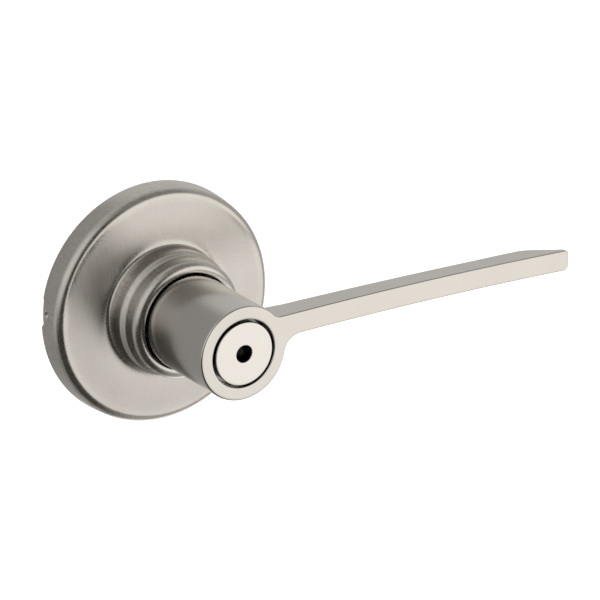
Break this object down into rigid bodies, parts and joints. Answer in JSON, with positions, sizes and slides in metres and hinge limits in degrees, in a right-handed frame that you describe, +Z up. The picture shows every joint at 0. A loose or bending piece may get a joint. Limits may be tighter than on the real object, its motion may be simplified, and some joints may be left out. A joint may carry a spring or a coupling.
{
  "type": "door lever handle",
  "caption": "Exterior half of a privacy door lever set: round stepped rose, straight hub, slim rectangular lever, emergency release hole, return spring and half-round spindle.",
  "frame": {"origin": "on the spindle axis, in the plane of the door's face, where the rose's back rim stands", "axes": "+Y into the door, -Y towards the hand, +X along the lever, +Z up"},
  "size_m": [0.1397, 0.0829, 0.0666],
  "materials": {
    "satin_nickel_rose": "satin nickel plate over stamped steel, finely brushed",
    "satin_nickel_lever": "satin nickel plate over die-cast zinc, fine satin",
    "satin_nickel_insert": "bright satin nickel plate",
    "zinc_plated_steel": "zinc plated steel",
    "dark_steel": "oiled dark steel",
    "spring_steel": "drawn spring wire",
    "bronze": "sintered bronze",
    "nylon": "natural nylon"
  },
  "bodies": {
    "rose": {"rose_cover": "satin_nickel_rose", "mounting_plate": "zinc_plated_steel", "post_left": "zinc_plated_steel", "post_right": "zinc_plated_steel", "spring_cage": "zinc_plated_steel", "cage_screw_top": "dark_steel", "cage_screw_left": "dark_steel", "cage_screw_right": "dark_steel", "stop_pin_left": "dark_steel", "stop_pin_right": "dark_steel", "bearing_bush": "bronze", "return_spring": "spring_steel", "rear_thrust_washer": "bronze"},
    "lever_body": {"lever": "satin_nickel_lever", "insert_disc": "satin_nickel_insert", "insert_retainer": "spring_steel", "drive_tube": "zinc_plated_steel", "spring_driver": "dark_steel", "retaining_ring": "spring_steel", "collar_washer": "nylon", "catch_spring": "spring_steel", "rod_guide": "nylon", "release_spring": "spring_steel", "spindle_plug": "zinc_plated_steel", "spindle_pin": "spring_steel", "half_round_spindle": "zinc_plated_steel"},
    "catch": {"lever_catch": "dark_steel"},
    "plunger": {"release_plunger": "dark_steel"}
  },
  "joints": [
    {"name": "lever_turn", "type": "hinge", "parent": "rose", "child": "lever_body", "pos_m": [0, 0, 0], "axis": [0, 1, 0], "range_deg": [-48, 48], "stiffness_Nm_per_rad": 1, "deforming": ["return_spring"]},
    {"name": "catch_press", "type": "slide", "parent": "lever_body", "child": "catch", "axis": [0, 0, 1], "range_m": [0, 0.002], "stiffness_N_per_m": 500, "deforming": ["catch_spring"]},
    {"name": "release_push", "type": "slide", "parent": "lever_body", "child": "plunger", "axis": [0, 1, 0], "range_m": [0, 0.0027], "stiffness_N_per_m": 300, "deforming": ["release_spring"]}
  ]
}
